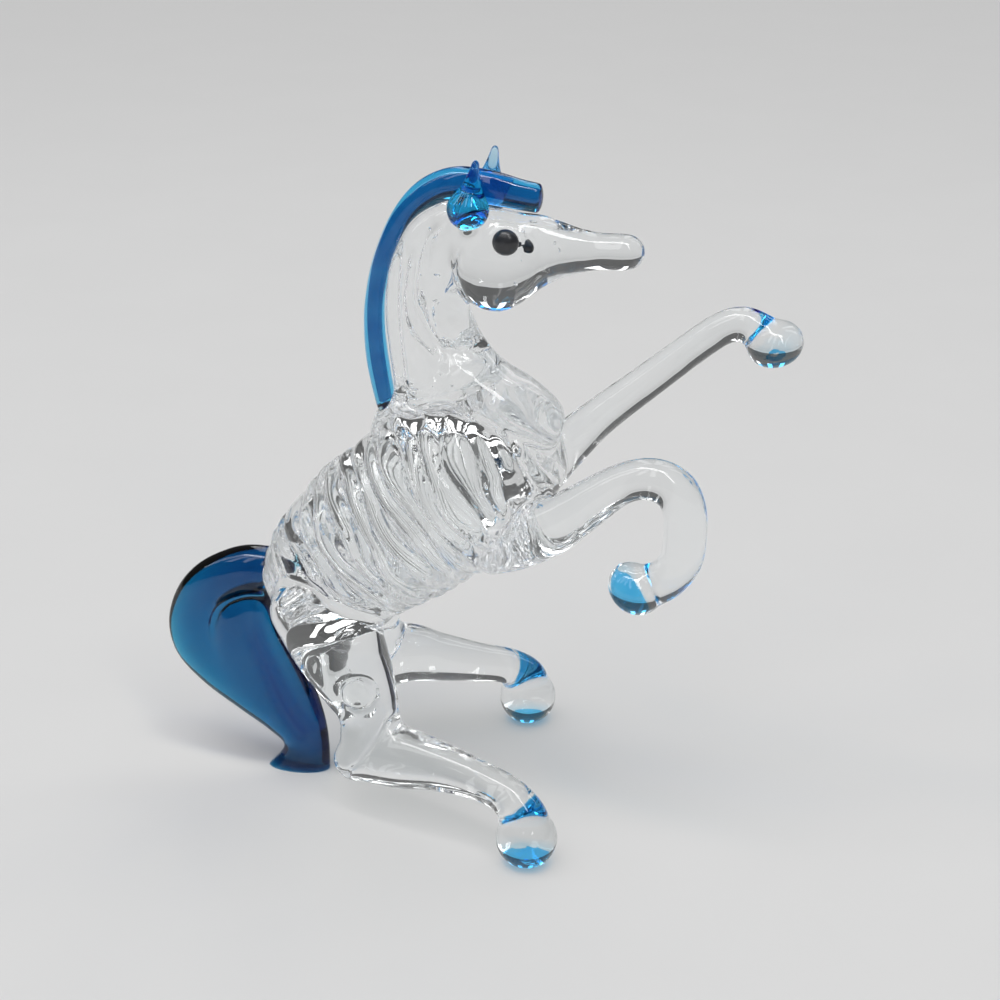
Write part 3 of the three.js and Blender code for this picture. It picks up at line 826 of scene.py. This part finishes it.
glassIor = 1.47
polish = {"strength": 0.12, "height": 0.4}  # the slow unevenness of glass that has only been melted smooth
smear = {"detail": 4, "rough": 0.6, "from": (0.5, 0.8)}  # fingers leave the polish less clear in places


def firePolish(place, ripple):
    return place.node("ShaderNodeBump", {}, {
        "Strength": polish["strength"], "Distance": polish["height"] * mm, "Height": noise(place, ripple, 1)})


def smeared(place, size, most):
    patches = noise(place, size, smear["detail"], smear["rough"])
    return ranged(place, patches, *smear["from"], 0, most)


clearLook = {  # sizes in mm
    "tints": ((0.95, 0.98, 0.985), (1, 1, 1)),
    "tintSize": 14,
    "sole": (0.22, 0.70, 1.0),
    "smear": (5, 0.06),
    "ripple": 9,
    "specks": {"apart": 1.1, "size": 0.14, "patches": 8, "clean": 0.57, "rough": 0.16},
    "shade": (0.9, 0.91, 0.91),  # of the lamps' light behind it
}


def clearFinish():
    material, place = newFinish("clear_fire_polished")
    sole = place.node("ShaderNodeAttribute", {"attribute_name": "soleBlue"}, output="Fac")
    clearTint = mixed(place, noise(place, clearLook["tintSize"]), *clearLook["tints"])
    colour = mixed(place, sole, clearTint, clearLook["sole"])
    specks = clearLook["specks"]
    dots = place.node("ShaderNodeTexVoronoi", {}, {
        "Vector": place, "Scale": 1 / (specks["apart"] * mm)}, output="Distance")
    dusty = (dots < specks["size"]) * (noise(place, specks["patches"]) > specks["clean"])
    glass = place.node("ShaderNodeBsdfPrincipled", {}, {
        "Base Color": colour, "Roughness": smeared(place, *clearLook["smear"]) + specks["rough"] * dusty,
        "IOR": glassIor, "Transmission Weight": 1.0, "Normal": firePolish(place, clearLook["ripple"])})
    output(place, litThrough(place, glass, clearLook["shade"]))
    return material


blueGlass = {  # absorption colour, density
    "mane": ((0.084, 0.78, 0.95), 750),
    "left_ear": ((0.30, 0.72, 0.92), 320),
    "right_ear": ((0.12, 0.80, 0.94), 620),
    "tail": ((0.15, 0.79, 0.885), 1600),
}
blueLook = {  # sizes in mm
    "tints": ((0.72, 0.90, 1.0), (0.85, 0.96, 1.0)),
    "tintSize": 10,
    # the tail's darker blue, which also serves as painted shade along its grooves
    "deep": (0.05, 0.29, 0.62),
    "smear": (4, 0.07),
    "ripple": 7,
    "shade": (0.62, 0.80, 0.95),  # of the lamps' light behind it
}


def blueFinish(kind):
    material, place = newFinish(kind + "_fire_polished")
    colour = mixed(place, noise(place, blueLook["tintSize"]), *blueLook["tints"])
    if kind == "tail":  # deeper towards the foot, and painted shade along the grooves between the strands
        deep = place.node("ShaderNodeAttribute", {"attribute_name": "deepBlueAndGrooveShade"}, output="Fac")
        colour = mixed(place, deep, colour, blueLook["deep"])
    glass = place.node("ShaderNodeBsdfPrincipled", {}, {
        "Base Color": colour, "Roughness": smeared(place, *blueLook["smear"]),
        "IOR": glassIor, "Transmission Weight": 1.0, "Normal": firePolish(place, blueLook["ripple"])})
    through, density = blueGlass[kind]
    depth = place.node("ShaderNodeVolumeAbsorption", {}, {"Color": (*through, 1), "Density": density})
    output(place, litThrough(place, glass, blueLook["shade"]), depth)
    return material


tints = {  # colours inside the glass
    "sole": ("blue_in_the_bead", (0.14, 0.60, 0.95), (0.28, 0.76, 1.0)),
    "core": ("navy_core", (0.07, 0.25, 0.46), (0.13, 0.34, 0.53)),
    "size": 3,
    "between": (0.35, 0.65),  # noise in which the first colour turns into the second
    "shade": (0.70, 0.88, 1.0),
}


def tintFinish(kind):  # with no surface of its own
    name, first, second = tints[kind]
    material, place = newFinish(name)
    colour = mixed(place, ranged(place, noise(place, tints["size"]), *tints["between"], 0, 1), first, second)
    glass = place.node("ShaderNodeBsdfPrincipled", {}, {
        "Base Color": colour, "Roughness": 0.0, "IOR": 1.0, "Transmission Weight": 1.0})
    output(place, litThrough(place, glass, tints["shade"]))
    return material


eyeLook = {  # sizes in mm
    "tints": ((0.016, 0.017, 0.020), (0.040, 0.042, 0.047)),
    "tintSize": 1.2,
    "rough": (0.28, 0.42),
    "roughSize": 0.8,
    "roughFrom": (0.4, 0.8),
    "ior": 1.5,
    "coat": 0.25,
}


def eyeFinish():
    material, place = newFinish("black_bead")
    colour = mixed(place, noise(place, eyeLook["tintSize"]), *eyeLook["tints"])
    dull = noise(place, eyeLook["roughSize"], 4)
    rough = ranged(place, dull, *eyeLook["roughFrom"], *eyeLook["rough"])
    output(place, place.node("ShaderNodeBsdfPrincipled", {}, {
        "Base Color": colour, "Roughness": rough, "IOR": eyeLook["ior"], "Coat Weight": eyeLook["coat"]}))
    return material


def markSoles(piece):
    spots = places(piece)
    blue = np.zeros(len(spots))
    for hoof in hooves.values():
        off = spots - middle(hoof["centre"])
        near = np.linalg.norm(off, axis=1) < hoof["radius"] + soleMark["beside"]
        blue = np.maximum(blue, near * np.clip(soleDepth(hoof, spots) / soleMark["soft"] + 0.5, 0, 1))
    layer = piece.data.attributes.new("soleBlue", "FLOAT", "POINT")
    layer.data.foreach_set("value", blue)


markSoles(clear)
looks = {
    "clear": clearFinish(),
    "mane": blueFinish("mane"),
    "left_ear": blueFinish("left_ear"),
    "right_ear": blueFinish("right_ear"),
    "tail": blueFinish("tail"),
    "sole": tintFinish("sole"),
    "core": tintFinish("core"),
    "eye": eyeFinish(),
}


def dress(piece, look, nodes):
    piece.data.materials.clear()
    piece.data.materials.append(looks[look])
    only(piece)
    bpy.ops.object.shade_smooth()
    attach(piece, "root")
    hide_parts(*nodes)


dress(clear, "clear", [
    "barrel", "rib_coil", "neck", "head",
    *[side + end for side in ("left", "right") for end in (
        "_foreleg", "_hind_thigh", "_hind_cannon", "_fore_hoof", "_hind_hoof")],
])
for name, piece in blues.items():
    dress(piece, name, [name])
dress(core, "core", ["mane"])
for name, piece in soles.items():
    dress(piece, "sole", [name])
for name, piece in eyeBeads.items():
    dress(piece, "eye", [name])
print("finishes on")

# Studio: a wide pale floor, soft lamps, camera

studio = {
    "floor": (0.72, 0.72, 0.72),
    "mottle": (30, 1.03),  # mm, and how much paler
    "floorRough": 0.9,
    "floorShine": 0.1,
    "floorRadius": 6.0,
    "farFloor": (0.56, 0.56, 0.56),  # as bright as the lit floor, where the lamps don't reach
    "farFrom": (0.35, 1.1),  # metres
    "world": 0.10,
    "lamps": (  # size across, size along, watts, place in metres
        (0.14, 1.08, 4.3, (0.54, -0.72, 1.26)),
        (1.60, 0.22, 9.7, (-0.09, -0.27, 1.62)),
        (0.28, 1.50, 3.4, (-1.45, -0.20, 1.40)),
        (0.28, 1.50, 3.4, (-1.05, -0.55, 1.65)),
        (0.28, 1.50, 3.4, (-0.60, -0.85, 1.75)),
        (0.28, 1.50, 3.4, (-0.10, -1.05, 1.70)),
        (0.28, 1.50, 2.6, (1.15, 0.85, 1.40)),
        (0.28, 1.50, 2.6, (0.65, 1.25, 1.45)),
        (0.28, 1.50, 2.6, (0.10, 1.45, 1.45)),
        (0.28, 1.50, 2.6, (-0.45, 1.40, 1.40)),
    ),
    "aim": (0, 0, 0.05),
    "target": (5.4, 0, 53.87),
    "eye": (64.05, -332.63, 204.25),
    "angle": 25,
    "bounces": 64,
}

bpy.ops.object.select_all(action="DESELECT")
bpy.ops.mesh.primitive_circle_add(
    vertices=128, radius=studio["floorRadius"], fill_type="NGON", location=(0, 0, 0))
floor = joined("floor", [bpy.context.object])
paper, place = newFinish("pale_paper")
size, paler = studio["mottle"]
near = place.node("ShaderNodeBsdfPrincipled", {}, {
    "Base Color": mixed(
        place, noise(place, size, 3), studio["floor"], [paler * value for value in studio["floor"]]),
    "Roughness": studio["floorRough"], "Specular IOR Level": studio["floorShine"]})
far = place.node("ShaderNodeEmission", {}, {"Color": (*studio["farFloor"], 1), "Strength": 1.0})
away = place.node("ShaderNodeVectorMath", {"operation": "LENGTH"}, {0: place}, output="Value")
seen = sum(place.node("ShaderNodeLightPath", output=ray) for ray in (
    "Is Camera Ray", "Is Glossy Ray", "Is Transmission Ray"))
output(place, place.node("ShaderNodeMixShader", {}, {
    0: ranged(place, away, *studio["farFrom"], 0, 1) * (seen > 0), 1: near, 2: far}))
floor.data.materials.append(paper)

scene = bpy.context.scene
scene.world = bpy.data.worlds.new("studio")
scene.world.use_nodes = True
sky = scene.world.node_tree.nodes["Background"]
sky.inputs["Color"].default_value = (1, 1, 1, 1)
sky.inputs["Strength"].default_value = studio["world"]
for across, along, watts, stand in studio["lamps"]:
    bpy.ops.object.light_add(type="AREA", location=stand)
    lamp = bpy.context.object
    lamp.data.shape = "RECTANGLE"
    lamp.data.size = across
    lamp.data.size_y = along
    lamp.data.energy = watts
    lamp.rotation_euler = (Vector(studio["aim"]) - lamp.location).to_track_quat("-Z", "Y").to_euler()

bpy.ops.object.camera_add(location=spot(*studio["eye"]))
camera = bpy.context.object
camera.rotation_euler = (spot(*studio["target"]) - camera.location).to_track_quat("-Z", "Y").to_euler()
camera.data.sensor_fit = "HORIZONTAL"
camera.data.angle = math.radians(studio["angle"])
camera.data.clip_start = 0.01
scene.camera = camera
scene.view_settings.view_transform = "Standard"
scene.cycles.max_bounces = studio["bounces"]
scene.cycles.glossy_bounces = studio["bounces"]
scene.cycles.transmission_bounces = studio["bounces"]
scene.cycles.caustics_refractive = False
scene.cycles.caustics_reflective = False
print("studio set")
